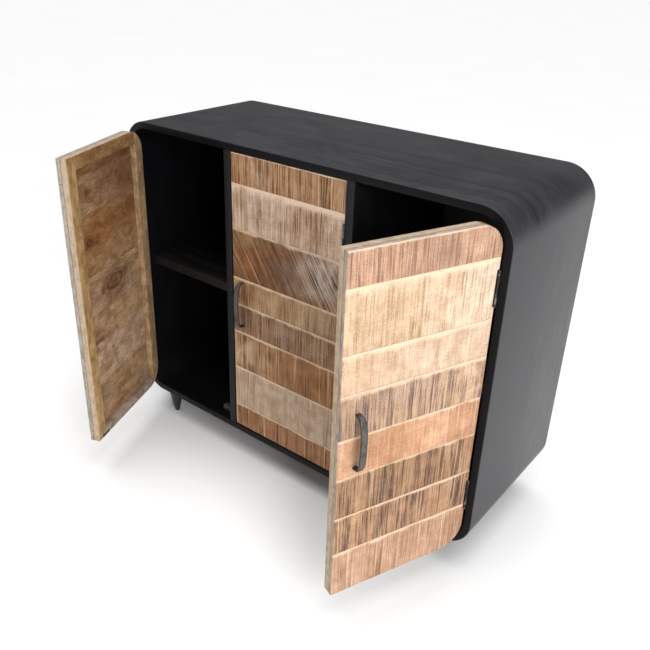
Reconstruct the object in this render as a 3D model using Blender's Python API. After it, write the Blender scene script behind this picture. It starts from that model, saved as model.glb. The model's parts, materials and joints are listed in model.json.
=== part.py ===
"""Three-door sideboard: a black case with rounded corners, plank doors on butt hinges, bow handles, four feet.

Frame: +Z up, the doors face -Y, x = 0 is the middle of the case and z = 0 is the floor. The outer doors stand
open and the middle door is closed.
"""
import math

import bmesh
import bpy
from mathutils import Matrix, Vector

# Driving dimensions, in metres and degrees
CASE_W = 1.100
CASE_D = 0.410
CASE_H = 0.800
FOOT_H = 0.075
WALL = 0.018
CORNER_R = 0.0765
DIVIDER_T = 0.020
BACK_T = 0.006
BACK_INSET = 0.008
SHELF_T = 0.025
SHELF_TOP = 0.408
SHELF_SETBACK = 0.047

DOOR_GAP = 0.003
DOOR_SETBACK = 0.001
PLANK_T = 0.0105
FRAME_T = 0.0165
STILE_W = 0.034
HEAD_RAIL_W = 0.034
FOOT_RAIL_W = 0.020
LEFT_OPEN = 67.8
RIGHT_OPEN = 68.2

HINGE_H = 0.076
HINGE_INSET = 0.095
LEAF_D = 0.0225
LEAF_T = 0.0010
LEAF_FROM_AXIS = 0.0032
KNUCKLE_R = 0.0028
PIN_R = 0.0012
BORE_R = 0.0016
AXIS_IN = 0.0005
AXIS_FROM_WALL = 0.0031
NOTCH_D = 0.0044
NOTCH_H = 0.078

HANDLE_SPAN = 0.124
HANDLE_RISE = 0.027
HANDLE_T = 0.0045
HANDLE_W = 0.015
HANDLE_BELOW_MIDDLE = 0.005
LEFT_HANDLE_FROM_EDGE = 0.048
MIDDLE_HANDLE_FROM_EDGE = 0.032
RIGHT_HANDLE_FROM_EDGE = 0.039

FOOT_TOP_R = 0.022
FOOT_TIP_R = 0.007
FOOT_FROM_END = 0.1025
FOOT_FROM_FACE = 0.028

CATCH_W = 0.040
CATCH_D = 0.014
CATCH_H = 0.013
CATCH_FROM_EDGE = 0.033

FIT = 0.0003

# Plank widths from the top of each door to its foot, shares of the door's height
LEFT_PLANKS = (60, 98, 158, 105, 83, 113, 72, 69)
MIDDLE_PLANKS = (72, 112, 130, 72, 79, 108, 118, 67)
RIGHT_PLANKS = (68, 128, 82, 96, 90, 95, 90, 109)

# Sizes that follow from them
BAY_W = (CASE_W - 2 * WALL - 2 * DIVIDER_T) / 3
DOOR_W = BAY_W - 2 * DOOR_GAP
DOOR_H = CASE_H - 2 * WALL - 2 * DOOR_GAP
DOOR_T = PLANK_T + FIT + FRAME_T
INNER_R = CORNER_R - WALL
DOOR_R = INNER_R - DOOR_GAP
INNER_X = CASE_W / 2 - WALL
BAY_X = BAY_W / 2
DOOR_EDGE = DOOR_GAP - AXIS_FROM_WALL
DOOR_FACE = DOOR_SETBACK - AXIS_IN
REACH = (DOOR_W + DOOR_EDGE) * math.sin(math.radians(RIGHT_OPEN)) - AXIS_IN
FRONT_Y = (REACH - CASE_D) / 2
BACK_Y = FRONT_Y + CASE_D
LINING_Y = BACK_Y - BACK_INSET - BACK_T
CASE_Z = FOOT_H
FLOOR_Z = CASE_Z + WALL
ROOF_Z = CASE_Z + CASE_H - WALL
DOOR_Z = FLOOR_Z + DOOR_GAP

ARC_STEPS = 12
ROUND_STEPS = 32
UPRIGHT = (math.pi / 2, 0, 0)
EDGEWAYS = (math.pi / 2, 0, -math.pi / 2)


def clear_scene():
    """Remove every object of the open file."""
    for obj in list(bpy.data.objects):
        bpy.data.objects.remove(obj, do_unlink=True)


def new_collection(name):
    """A collection linked to the scene."""
    collection = bpy.data.collections.new(name)
    bpy.context.scene.collection.children.link(collection)
    return collection


def paint(name, colour, roughness, metallic=0.0):
    """A Principled material."""
    material = bpy.data.materials.new(name)
    material.use_nodes = True
    shader = material.node_tree.nodes["Principled BSDF"]
    shader.inputs["Base Color"].default_value = (*colour, 1.0)
    shader.inputs["Roughness"].default_value = roughness
    shader.inputs["Metallic"].default_value = metallic
    return material


def place(name, mesh, material, location=(0, 0, 0), rotation=(0, 0, 0), parent=None):
    """Put a mesh into the sideboard's collection as one named object."""
    obj = bpy.data.objects.new(name, mesh)
    obj.location = location
    obj.rotation_euler = rotation
    obj.parent = parent
    mesh.materials.append(material)
    SIDEBOARD.objects.link(obj)
    return obj


def box_mesh(low, high):
    """A box between two corners."""
    low = Vector(low)
    high = Vector(high)
    middle = Matrix.Translation((low + high) / 2)
    size = Matrix.Diagonal((*(high - low), 1.0))
    mesh = bpy.data.meshes.new("box")
    shape = bmesh.new()
    bmesh.ops.create_cube(shape, size=1.0, matrix=middle @ size)
    shape.to_mesh(mesh)
    shape.free()
    return mesh


def cone_mesh(bottom_r, top_r, low_z, high_z, steps=ROUND_STEPS):
    """An upright cone frustum or cylinder on the Z axis."""
    mesh = bpy.data.meshes.new("round")
    shape = bmesh.new()
    middle = Matrix.Translation((0, 0, (low_z + high_z) / 2))
    bmesh.ops.create_cone(shape, cap_ends=True, segments=steps, radius1=bottom_r, radius2=top_r,
                          depth=high_z - low_z, matrix=middle)
    shape.to_mesh(mesh)
    shape.free()
    mesh.shade_smooth()
    mesh.set_sharp_from_angle(angle=math.radians(40))
    return mesh


def plate_mesh(outlines, thickness):
    """A flat plate: closed outlines in XY, filled, and given a thickness about z = 0.

    The first outline is the rim and any other is a window in it.
    """
    curve = bpy.data.curves.new("outline", "CURVE")
    curve.dimensions = "2D"
    curve.fill_mode = "BOTH"
    curve.extrude = thickness / 2
    for points in outlines:
        spline = curve.splines.new("POLY")
        spline.points.add(len(points) - 1)
        for point, (x, y) in zip(spline.points, points):
            point.co = (x, y, 0, 1)
        spline.use_cyclic_u = True
    holder = bpy.data.objects.new("outline", curve)
    bpy.context.scene.collection.objects.link(holder)
    evaluated = holder.evaluated_get(bpy.context.evaluated_depsgraph_get())
    mesh = bpy.data.meshes.new_from_object(evaluated)
    bpy.data.objects.remove(holder, do_unlink=True)
    bpy.data.curves.remove(curve)
    shape = bmesh.new()
    shape.from_mesh(mesh)
    bmesh.ops.remove_doubles(shape, verts=shape.verts, dist=0.00001)
    shape.to_mesh(mesh)
    shape.free()
    return mesh


def arc(centre, radius, start, end, steps=ARC_STEPS):
    """Points of a circular arc, its angles in degrees."""
    turns = [math.radians(start + (end - start) * i / steps) for i in range(steps + 1)]
    return [(centre[0] + radius * math.cos(a), centre[1] + radius * math.sin(a)) for a in turns]


def rounded_box(low, high, radius):
    """A rectangle with four round corners, anticlockwise."""
    x0, y0 = low[0] + radius, low[1] + radius
    x1, y1 = high[0] - radius, high[1] - radius
    return (arc((x1, y0), radius, -90, 0) + arc((x1, y1), radius, 0, 90)
            + arc((x0, y1), radius, 90, 180) + arc((x0, y0), radius, 180, 270))


def slab(low, high, side, round_foot=0.0, round_top=0.0):
    """A rectangle measured from the hinge edge; its corners on that edge may be round.

    side is +1 for a door that lies to the right of its hinge, and -1 to the left.
    """
    u0, v0 = low
    u1, v1 = high
    points = [(u1, v0), (u1, v1)]
    if round_top:
        points += arc((u0 + round_top, v1 - round_top), round_top, 90, 180)
    else:
        points += [(u0, v1)]
    if round_foot:
        points += arc((u0 + round_foot, v0 + round_foot), round_foot, 180, 270)
    else:
        points += [(u0, v0)]
    if side < 0:
        points = [(-u, v) for u, v in reversed(points)]
    return points


def cut(obj, other_mesh, operation):
    """Join a mesh to an object, or take it away, with a Boolean that is applied at once."""
    tool = bpy.data.objects.new("tool", other_mesh)
    CUTTERS.objects.link(tool)
    bpy.context.view_layer.update()
    tool.matrix_world = obj.matrix_world
    modifier = obj.modifiers.new("shape", "BOOLEAN")
    modifier.operation = operation
    modifier.solver = "EXACT"
    modifier.object = tool
    bpy.context.view_layer.update()
    evaluated = obj.evaluated_get(bpy.context.evaluated_depsgraph_get())
    mesh = bpy.data.meshes.new_from_object(evaluated)
    obj.modifiers.remove(modifier)
    obj.data = mesh
    bpy.data.objects.remove(tool, do_unlink=True)


def build_shell():
    """The case: a floor and a top panel between two sides that carry the round corners."""
    flat_x = CASE_W / 2 - CORNER_R
    place("top_panel", box_mesh((-flat_x + FIT, FRONT_Y, ROOF_Z), (flat_x - FIT, BACK_Y, ROOF_Z + WALL)), BLACK)
    place("bottom_panel", box_mesh((-flat_x + FIT, FRONT_Y, CASE_Z), (flat_x - FIT, BACK_Y, FLOOR_Z)), BLACK)
    side = (arc((flat_x, CORNER_R), CORNER_R, -90, 0) + arc((flat_x, CASE_H - CORNER_R), CORNER_R, 0, 90)
            + arc((flat_x, CASE_H - CORNER_R), INNER_R, 90, 0) + arc((flat_x, CORNER_R), INNER_R, 0, -90))
    mirrored = [(-x, y) for x, y in reversed(side)]
    middle = (0, (FRONT_Y + BACK_Y) / 2, CASE_Z)
    place("right_side", plate_mesh([side], CASE_D), BLACK, middle, UPRIGHT)
    place("left_side", plate_mesh([mirrored], CASE_D), BLACK, middle, UPRIGHT)


def build_lining():
    """The back panel, the two dividers and a shelf in each bay."""
    reach = INNER_X - FIT
    back = rounded_box((-reach, WALL + FIT), (reach, CASE_H - WALL - FIT), INNER_R)
    place("back_panel", plate_mesh([back], BACK_T), BLACK, (0, LINING_Y + BACK_T / 2, CASE_Z), UPRIGHT)
    deep = LINING_Y - FIT
    for name, centre in (("left_divider", -BAY_X - DIVIDER_T / 2), ("right_divider", BAY_X + DIVIDER_T / 2)):
        low = (centre - DIVIDER_T / 2, FRONT_Y, FLOOR_Z + FIT)
        high = (centre + DIVIDER_T / 2, deep, ROOF_Z - FIT)
        place(name, box_mesh(low, high), BLACK)
    pitch = BAY_W + DIVIDER_T
    for name, bay in (("left_shelf", -1), ("middle_shelf", 0), ("right_shelf", 1)):
        x = bay * pitch
        low = (x - BAY_X + FIT, FRONT_Y + SHELF_SETBACK, CASE_Z + SHELF_TOP - SHELF_T)
        high = (x + BAY_X - FIT, deep, CASE_Z + SHELF_TOP)
        place(name, box_mesh(low, high), SHELF_BLACK)


def build_feet():
    """Four tapered round feet under the corners."""
    for side, x in (("left", FOOT_FROM_END - CASE_W / 2), ("right", CASE_W / 2 - FOOT_FROM_END)):
        for end, y in (("front", FRONT_Y + FOOT_FROM_FACE), ("back", BACK_Y - FOOT_FROM_FACE)):
            mesh = cone_mesh(FOOT_TIP_R, FOOT_TOP_R, 0, FOOT_H - FIT)
            place(f"{end}_{side}_foot", mesh, FOOT_BLACK, (x, y, 0))


def handle_outline():
    """Side view of a bow handle: x is the distance from the door and y runs along the bow.

    The bow is a superellipse with short square shoulders, and its inner edge is a smaller one inside it.
    """
    bow = 0.30

    def edge(half_span, rise):
        turns = [math.pi * i / (2 * ARC_STEPS) for i in range(2 * ARC_STEPS + 1)]
        return [(rise * math.sin(a) ** (2 * bow), math.copysign(abs(math.cos(a)) ** (2 * bow), math.cos(a))
                 * half_span) for a in turns]

    outer = edge(HANDLE_SPAN / 2, HANDLE_RISE)
    inner = edge(HANDLE_SPAN / 2 - HANDLE_T, HANDLE_RISE - HANDLE_T)
    return [(x, -y) for x, y in outer] + list(reversed([(x, -y) for x, y in inner]))


def build_hinge(door, level, z, side, axis):
    """A butt hinge: a case leaf with two knuckles and the pin, and a door leaf with the middle knuckle."""
    third = HINGE_H / 3
    play = FIT / 2
    plate_y = LEAF_FROM_AXIS
    case_x = AXIS_FROM_WALL - FIT
    door_x = FIT - DOOR_EDGE + LEAF_T

    def leaf(far_x, low_z, high_z, from_y, to_y):
        x0, x1 = sorted((-side * far_x, -side * (far_x - LEAF_T)))
        return box_mesh((x0, from_y, low_z), (x1, to_y, high_z))

    half = HINGE_H / 2
    spot = (axis.location.x, axis.location.y, z)
    tongue_y = plate_y + 0.001
    case_leaf = place(f"{door}_{level}_hinge_case_leaf", leaf(case_x, -half, half, plate_y, plate_y + LEAF_D),
                      STEEL, spot)
    for low, high in ((-half, -third / 2 - play), (third / 2 + play, half)):
        cut(case_leaf, leaf(case_x, low, high, 0, tongue_y), "UNION")
        cut(case_leaf, cone_mesh(KNUCKLE_R, KNUCKLE_R, low, high, 24), "UNION")
    cut(case_leaf, cone_mesh(PIN_R, PIN_R, -half + play, half - play, 24), "UNION")
    low, high = -third / 2 + play, third / 2 - play
    door_leaf = place(f"{door}_{level}_hinge_door_leaf", leaf(door_x, -half, half, plate_y, plate_y + LEAF_D),
                      STEEL, (0, 0, z - axis.location.z), parent=axis)
    cut(door_leaf, leaf(door_x, low, high, 0, tongue_y), "UNION")
    cut(door_leaf, cone_mesh(KNUCKLE_R, KNUCKLE_R, low, high, 24), "UNION")
    cut(door_leaf, cone_mesh(BORE_R, BORE_R, -third, third, 24), "DIFFERENCE")


def build_door(door, hinge_x, side, open_turn, plank_shares, round_r, handle_from_edge):
    """One door: planks on a frame, a handle and two hinges, all on an empty at the hinge axis."""
    axis = bpy.data.objects.new(f"{door}_axis", None)
    axis.location = (hinge_x, FRONT_Y + AXIS_IN, DOOR_Z)
    SIDEBOARD.objects.link(axis)
    edge = DOOR_EDGE
    face = DOOR_FACE
    hinges = (("upper", DOOR_H - HINGE_INSET - HINGE_H / 2), ("lower", HINGE_INSET + HINGE_H / 2))
    notch_x = sorted((side * (edge - FIT), side * (edge + NOTCH_D)))
    top = DOOR_H
    for number, share in enumerate(plank_shares, start=1):
        foot = top - DOOR_H * share / sum(plank_shares)
        low = (edge, foot + (FIT / 2 if number < len(plank_shares) else 0))
        high = (edge + DOOR_W, top - (FIT / 2 if number > 1 else 0))
        outline = slab(low, high, side, round_r if number == len(plank_shares) else 0,
                       round_r if number == 1 else 0)
        plank = place(f"{door}_plank_{number}", plate_mesh([outline], PLANK_T),
                      PLANKS[(number * 5) % len(PLANKS)], (0, face + PLANK_T / 2, 0), UPRIGHT, axis)
        for _, middle in hinges:
            if foot < middle + NOTCH_H / 2 and top > middle - NOTCH_H / 2:
                cut(plank, box_mesh((notch_x[0], middle - NOTCH_H / 2, -PLANK_T),
                                    (notch_x[1], middle + NOTCH_H / 2, PLANK_T)), "DIFFERENCE")
        top = foot
    rim = slab((edge, 0), (edge + DOOR_W, DOOR_H), side, round_r, round_r)
    window = slab((edge + STILE_W, FOOT_RAIL_W), (edge + DOOR_W - STILE_W, DOOR_H - HEAD_RAIL_W), side)
    place(f"{door}_frame", plate_mesh([rim, window], FRAME_T), FRAME_WOOD,
          (0, face + PLANK_T + FIT + FRAME_T / 2, 0), UPRIGHT, axis)
    handle_x = side * (edge + DOOR_W - handle_from_edge)
    place(f"{door}_handle", plate_mesh([handle_outline()], HANDLE_W), IRON,
          (handle_x, face - FIT, DOOR_H / 2 - HANDLE_BELOW_MIDDLE), EDGEWAYS, axis)
    for level, z in hinges:
        build_hinge(door, level, DOOR_Z + z, side, axis)
    axis.rotation_euler.z = -side * math.radians(open_turn)


def build_catch(door, hinge_x, side):
    """A magnetic catch on the floor of the bay, behind the door's free corner."""
    x = hinge_x + side * (DOOR_W - CATCH_FROM_EDGE)
    y = FRONT_Y + DOOR_SETBACK + DOOR_T + FIT
    low = (x - CATCH_W / 2, y, FLOOR_Z + FIT)
    high = (x + CATCH_W / 2, y + CATCH_D, FLOOR_Z + CATCH_H)
    place(f"{door}_catch", box_mesh(low, high), STEEL)


clear_scene()
SIDEBOARD = new_collection("sideboard")
CUTTERS = new_collection("cutters")

BLACK = paint("black_case", (0.022, 0.023, 0.026), 0.42)
SHELF_BLACK = paint("black_shelf", (0.030, 0.027, 0.026), 0.6)
FOOT_BLACK = paint("black_foot", (0.020, 0.020, 0.022), 0.5)
IRON = paint("handle_iron", (0.10, 0.10, 0.105), 0.45, 0.8)
STEEL = paint("hinge_steel", (0.05, 0.05, 0.055), 0.4, 0.9)
FRAME_WOOD = paint("frame_wood", (0.52, 0.38, 0.22), 0.65)
PLANKS = [paint(f"plank_wood_{i + 1}", colour, 0.7) for i, colour in enumerate((
    (0.60, 0.40, 0.24), (0.50, 0.28, 0.13), (0.72, 0.55, 0.36), (0.40, 0.24, 0.14)))]

build_shell()
build_lining()
build_feet()

OUTER_HINGE_X = INNER_X - AXIS_FROM_WALL
MIDDLE_HINGE_X = BAY_X - AXIS_FROM_WALL
for door_name, door_hinge_x, door_side, door_turn, door_shares, door_round, handle_in in (
        ("left_door", -OUTER_HINGE_X, 1, LEFT_OPEN, LEFT_PLANKS, DOOR_R, LEFT_HANDLE_FROM_EDGE),
        ("middle_door", MIDDLE_HINGE_X, -1, 0.0, MIDDLE_PLANKS, 0.0, MIDDLE_HANDLE_FROM_EDGE),
        ("right_door", OUTER_HINGE_X, -1, RIGHT_OPEN, RIGHT_PLANKS, DOOR_R, RIGHT_HANDLE_FROM_EDGE)):
    build_door(door_name, door_hinge_x, door_side, door_turn, door_shares, door_round, handle_in)
    build_catch(door_name, door_hinge_x, door_side)
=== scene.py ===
"""Looks of a black round-cornered sideboard with three rough-sawn plank doors."""
import json
import math

import bpy
import numpy as np
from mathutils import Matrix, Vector


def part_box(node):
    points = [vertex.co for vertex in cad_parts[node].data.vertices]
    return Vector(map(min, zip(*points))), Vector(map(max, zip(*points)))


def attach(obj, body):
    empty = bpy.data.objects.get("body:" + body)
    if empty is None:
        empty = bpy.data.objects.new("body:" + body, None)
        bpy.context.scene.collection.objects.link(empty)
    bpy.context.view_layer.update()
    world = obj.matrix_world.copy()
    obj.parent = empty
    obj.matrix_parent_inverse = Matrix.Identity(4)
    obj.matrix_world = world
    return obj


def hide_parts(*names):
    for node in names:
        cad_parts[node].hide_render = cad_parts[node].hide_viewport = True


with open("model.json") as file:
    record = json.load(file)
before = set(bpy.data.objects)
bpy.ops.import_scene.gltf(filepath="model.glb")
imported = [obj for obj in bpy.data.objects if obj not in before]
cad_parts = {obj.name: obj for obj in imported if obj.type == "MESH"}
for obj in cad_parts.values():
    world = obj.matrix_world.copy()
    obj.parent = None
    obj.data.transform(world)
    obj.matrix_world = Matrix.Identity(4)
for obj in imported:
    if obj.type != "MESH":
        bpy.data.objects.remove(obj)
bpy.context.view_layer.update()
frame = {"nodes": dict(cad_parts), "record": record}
joints = {joint["name"]: joint for joint in frame["record"]["behaviour"]["joints"]}


# ---- Case shell ----------------------------------------------------------------------------------
# One continuous wrap of black-lacquered sheet over 18 mm board, bent round four large corners.
# The sheet is folded over the front and back edges, so those arrises are slightly round.

top_low, top_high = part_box("top_panel")
side_low, side_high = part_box("right_side")
WALL = top_high.z - top_low.z
HALF_WIDTH = side_high.x
FRONT_Y, BACK_Y = top_low.y, top_high.y
CASE_FOOT, CASE_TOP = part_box("bottom_panel")[0].z, top_high.z
CORNER_R = side_high.x - side_low.x
SHELL_ARRIS = 0.0014
CORNER_STEPS = 24


def grid_faces(rows, columns, close_rows=False, close_columns=False, start=0):
    """Quads of a grid of vertices numbered row by row; a closed grid joins its last line to its first."""
    index = start + np.arange(rows * columns).reshape(rows, columns)
    if close_rows:
        index = np.vstack([index, index[:1]])
    if close_columns:
        index = np.hstack([index, index[:, :1]])
    corners = (index[:-1, :-1], index[:-1, 1:], index[1:, 1:], index[1:, :-1])
    return np.stack(corners, -1).reshape(-1, 4)


def enclosed(points, faces):
    """Six times the volume inside a closed mesh of quads: the sum of its triangles' triple products."""
    a, b, c, d = (points[faces[:, i]] for i in range(4))
    return np.einsum("ij,ij->", a, np.cross(b, c)) + np.einsum("ij,ij->", a, np.cross(c, d))


def new_piece(name, points, faces, materials, slots=None, smooth_below=35.0, **attributes):
    """A mesh object at the origin from points and quads, its faces turned outward.

    slots gives each face's material, and each attribute holds a value or a vector for each point.
    """
    points = np.asarray(points, float).reshape(-1, 3)
    faces = np.asarray(faces)
    if enclosed(points - points.mean(0), faces) < 0:
        faces = faces[:, ::-1]
    mesh = bpy.data.meshes.new(name)
    mesh.from_pydata(points, [], faces.tolist())
    for material in materials:
        mesh.materials.append(material)
    if slots is not None:
        mesh.polygons.foreach_set("material_index", np.asarray(slots, np.int32))
    for key, values in attributes.items():
        values = np.asarray(values, np.float32)
        kind, field = ("FLOAT_VECTOR", "vector") if values.size == points.size else ("FLOAT", "value")
        mesh.attributes.new(key, kind, "POINT").data.foreach_set(field, values.ravel())
    mesh.shade_smooth()
    mesh.set_sharp_from_angle(angle=math.radians(smooth_below))
    mesh.update()
    piece = bpy.data.objects.new(name, mesh)
    bpy.context.scene.collection.objects.link(piece)
    return piece


def round_loop(half_width, foot, top, radius, corner_steps, flat_steps):
    """Points (x, z) and outward directions round a rectangle whose corners are quarter circles."""
    points, normals = [], []
    middle = (foot + top) / 2
    centres = [(half_width - radius, foot + radius), (half_width - radius, top - radius),
               (radius - half_width, top - radius), (radius - half_width, foot + radius)]
    for corner, (x, z) in enumerate(centres):
        turn = np.radians(np.linspace(-90, 0, corner_steps + 1) + 90 * corner)
        out = np.stack([np.cos(turn), np.sin(turn)], -1)
        points.append(np.array([x, z]) + radius * out)
        normals.append(out)
        x_next, z_next = centres[(corner + 1) % 4]
        start = points[-1][-1]
        end = np.array([x_next, z_next]) + radius * out[-1]
        share = np.linspace(0, 1, flat_steps + 1)[1:-1, None]
        points.append(start + (end - start) * share)
        normals.append(np.repeat(out[-1:], flat_steps - 1, 0))
    return np.vstack(points), np.vstack(normals)


def rim_profile(thickness, low_y, high_y, arris, steps=4):
    """The wall's section as (depth below the outer face, y): a rectangle with quarter circles for corners."""
    corners = [(arris, low_y + arris, 180), (thickness - arris, low_y + arris, 270),
               (thickness - arris, high_y - arris, 0), (arris, high_y - arris, 90)]
    section = []
    for depth, y, start in corners:
        turn = np.radians(start + np.linspace(0, 90, steps + 1))
        section.append(np.stack([depth + arris * np.cos(turn), y + arris * np.sin(turn)], -1))
    return np.vstack(section)


def add(tree, kind, inputs=None, **settings):
    """One shader node: an input is linked where its value is a socket, and set where it is a number."""
    node = tree.nodes.new(kind)
    for key, value in settings.items():
        setattr(node, key, value)
    for key, value in (inputs or {}).items():
        if isinstance(value, bpy.types.NodeSocket):
            tree.links.new(value, node.inputs[key])
        else:
            node.inputs[key].default_value = value
    return node


def paint(name, **surface):
    """A new Principled material; surface gives the shader's constant inputs."""
    material = bpy.data.materials.new(name)
    material.use_nodes = True
    shader = material.node_tree.nodes["Principled BSDF"]
    for key, value in surface.items():
        shader.inputs[key.replace("_", " ")].default_value = value
    return material, material.node_tree, shader


def own_place(tree):
    """The object's own coordinates, in metres."""
    return add(tree, "ShaderNodeTexCoord").outputs["Object"]


def attribute(tree, name, output="Fac"):
    """A value or a vector held by the piece's points."""
    return add(tree, "ShaderNodeAttribute", attribute_name=name).outputs[output]


def noise(tree, vector, scale, detail=3.0, rough=0.5, distortion=0.0, turn=(0, 0, 0), shift=(0, 0, 0)):
    """Noise from 0 to 1 on a vector. Three scales draw it out along the axes that have the smaller ones."""
    if isinstance(scale, tuple):
        vector = add(tree, "ShaderNodeMapping", {"Vector": vector, "Scale": scale, "Rotation": turn,
                                                 "Location": shift}).outputs["Vector"]
        scale = 1.0
    return add(tree, "ShaderNodeTexNoise", {"Vector": vector, "Scale": scale, "Detail": detail,
                                            "Roughness": rough, "Distortion": distortion}).outputs["Fac"]


def remap(tree, value, low, high, to_low=0.0, to_high=1.0):
    """A value's stretch from low to high taken smoothly to another range."""
    return add(tree, "ShaderNodeMapRange", {"Value": value, "From Min": low, "From Max": high,
                                            "To Min": to_low, "To Max": to_high},
               interpolation_type="SMOOTHSTEP").outputs["Result"]


def maths(tree, operation, a, b=0.0):
    """A Math node."""
    return add(tree, "ShaderNodeMath", {0: a, 1: b}, operation=operation).outputs[0]


def weighed(tree, *parts):
    """The sum of values, each given with its weight."""
    total = 0.0
    for value, weight in parts:
        node = add(tree, "ShaderNodeMath", {0: value, 1: weight, 2: total}, operation="MULTIPLY_ADD")
        total = node.outputs[0]
    return total


def mixed(tree, share, a, b, blend="MIX"):
    """Colour a mixed with colour b."""
    a, b = ((*value, 1.0) if isinstance(value, tuple) else value for value in (a, b))
    return add(tree, "ShaderNodeMix", {0: share, 6: a, 7: b}, data_type="RGBA", blend_type=blend).outputs[2]


def shaded(tree, colour, share, dark, light):
    """A colour multiplied by a mix of two tints."""
    return mixed(tree, 1.0, colour, mixed(tree, share, dark, light), "MULTIPLY")


def surface(tree, shader, colour, roughness, height, distance):
    """A shader's colour, roughness and relief; the height from 0 to 1 spans the distance in metres."""
    relief = add(tree, "ShaderNodeBump", {"Height": height, "Distance": distance, "Strength": 1.0})
    tree.links.new(colour, shader.inputs["Base Color"])
    tree.links.new(roughness, shader.inputs["Roughness"])
    tree.links.new(relief.outputs["Normal"], shader.inputs["Normal"])


def black_lacquer(name, dark, light, rubbed, shine):
    """Satin black sheet: a cloud shifts its colour between dark and light, partly a mottled finish and partly
    painted sheen, with faint streaks along the wrap and fine diagonal rubs.
    """
    material, tree, shader = paint(name, Specular_IOR_Level=shine)
    place = own_place(tree)
    cloud = noise(tree, place, (5, 7, 2.2), detail=5.0, rough=0.65, distortion=0.5)
    streak = noise(tree, place, (1.2, 70, 11), detail=5.0, rough=0.7)
    rubs = noise(tree, place, (2.0, 14, 260), turn=(0.85, 0, 0), detail=2.0)
    tone = weighed(tree, (cloud, 0.55), (streak, 0.45))
    # Painted sheen: the cloud lightens and darkens the base colour, standing in for sheen as well as mottling
    # the finish; the streaks are the sheet's own.
    colour = mixed(tree, remap(tree, tone, 0.36, 0.64), dark, light)
    colour = mixed(tree, remap(tree, rubs, 0.68, 0.78, 0.0, rubbed), colour, (0.08, 0.08, 0.085))
    orange_peel = noise(tree, place, 420.0, detail=2.0)
    surface(tree, shader, colour, remap(tree, tone, 0.3, 0.7, 0.35, 0.50), orange_peel, 0.00006)
    return material


def build_shell():
    """The wall's section is carried round the case's outline: each point lies a depth inside the outline."""
    loop, out = round_loop(HALF_WIDTH, CASE_FOOT, CASE_TOP, CORNER_R, CORNER_STEPS, CORNER_STEPS)
    section = rim_profile(WALL, FRONT_Y, BACK_Y, SHELL_ARRIS)
    spots = loop[:, None, :] - out[:, None, :] * section[None, :, :1]
    y = np.broadcast_to(section[None, :, 1], spots.shape[:2])
    points = np.stack([spots[..., 0], y, spots[..., 1]], -1)
    faces = grid_faces(len(loop), len(section), close_rows=True, close_columns=True)
    depth = np.broadcast_to(section[:, 0], spots.shape[:2]).reshape(-1)
    # The turned-in faces (the inside of the case and the front and back rims) take a darker, duller copy of
    # the same lacquer: painted shade of the case's inside.
    turned_in = (depth[faces].mean(1) > SHELL_ARRIS).astype(int)
    shell = new_piece("case_shell", points, faces, [BLACK_LACQUER, SHADED_RIM_LACQUER], turned_in)
    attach(shell, "case")
    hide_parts("top_panel", "bottom_panel", "left_side", "right_side")


BLACK_LACQUER = black_lacquer("black_lacquer", (0.006, 0.006, 0.008), (0.031, 0.029, 0.036), 0.5, 0.48)
# Painted shade: the same lacquer made darker and less shiny, for the shaded inside of the case and its rims.
SHADED_RIM_LACQUER = black_lacquer("shaded_rim_lacquer", (0.0030, 0.0028, 0.0036), (0.0050, 0.0046, 0.0058), 0.02, 0.12)
build_shell()


# ---- Back panel, dividers and shelves ------------------------------------------------------------
# Boards stained black and darkened further as painted shade of the enclosed bays: a thin back, two dividers
# that make three equal bays, and a shelf in each bay.
# The shelves are set back behind the doors.

BOARD_ARRIS = 0.0010
BACK_STEPS = 12


def rim_loop(grid):
    """A grid's outer entries in order round it."""
    return np.concatenate([grid[0], grid[1:, -1], grid[-1, -2::-1], grid[-2:0:-1, 0]])


def slab(region, thickness, arris, lift=None, steps=3):
    """A board's points (a, depth, b), its quads, and each quad's part: 0 front, 1 edge or 2 back.

    region(inset) gives the face's grids of a and b, drawn in by the inset. The front lies lift(a, b) deep.
    Each ring round the front's arris lies at inset arris(1 - sin t) and depth arris(1 - cos t), with t up to
    90 degrees, and the back's arris is the same turned round.
    """
    a, b = region(arris)
    dip = lift(a, b) if lift else np.zeros_like(a)
    turns = np.radians(np.linspace(0, 90, steps + 1))[1:]
    rounds = [(arris * (1 - math.sin(t)), arris * (1 - math.cos(t))) for t in turns]
    rings = []
    for inset, depth in rounds:
        ring_a, ring_b = region(inset)
        rings.append(np.stack([rim_loop(ring_a), rim_loop(dip) + depth, rim_loop(ring_b)], -1))
    for inset, depth in reversed(rounds):
        ring_a, ring_b = region(inset)
        rings.append(np.stack([rim_loop(ring_a), np.full(rings[0].shape[0], thickness - depth),
                               rim_loop(ring_b)], -1))
    front = np.stack([a, dip, b], -1).reshape(-1, 3)
    back = np.stack([a, np.full_like(a, thickness), b], -1).reshape(-1, 3)
    points = np.vstack([front, *rings, back])
    around, count = rings[0].shape[0], len(front)
    index = np.arange(count).reshape(a.shape)
    middle = count + np.arange(len(rings) * around).reshape(len(rings), around)
    last = index + count + len(rings) * around
    loops = np.vstack([rim_loop(index), middle, rim_loop(last)])
    after = np.roll(loops, -1, 1)
    edge = np.stack([after[:-1], loops[:-1], loops[1:], after[1:]], -1).reshape(-1, 4)
    face = grid_faces(*a.shape)
    faces = np.vstack([face, edge, last.ravel()[face[:, ::-1]]])
    part = np.repeat([0, 1, 2], [len(face), len(edge), len(face)])
    part[len(face):len(face) + steps * around] = 0
    return points, faces, part


def plain_region(a_low, a_high, b_low, b_high, cell=0.02):
    """The region of a rectangle, as a function of the inset."""
    rows, columns = (max(3, int(span / cell) + 1) for span in (b_high - b_low, a_high - a_low))

    def region(inset):
        b, a = np.meshgrid(np.linspace(b_low + inset, b_high - inset, rows),
                           np.linspace(a_low + inset, a_high - inset, columns), indexing="ij")
        return a, b
    return region


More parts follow.
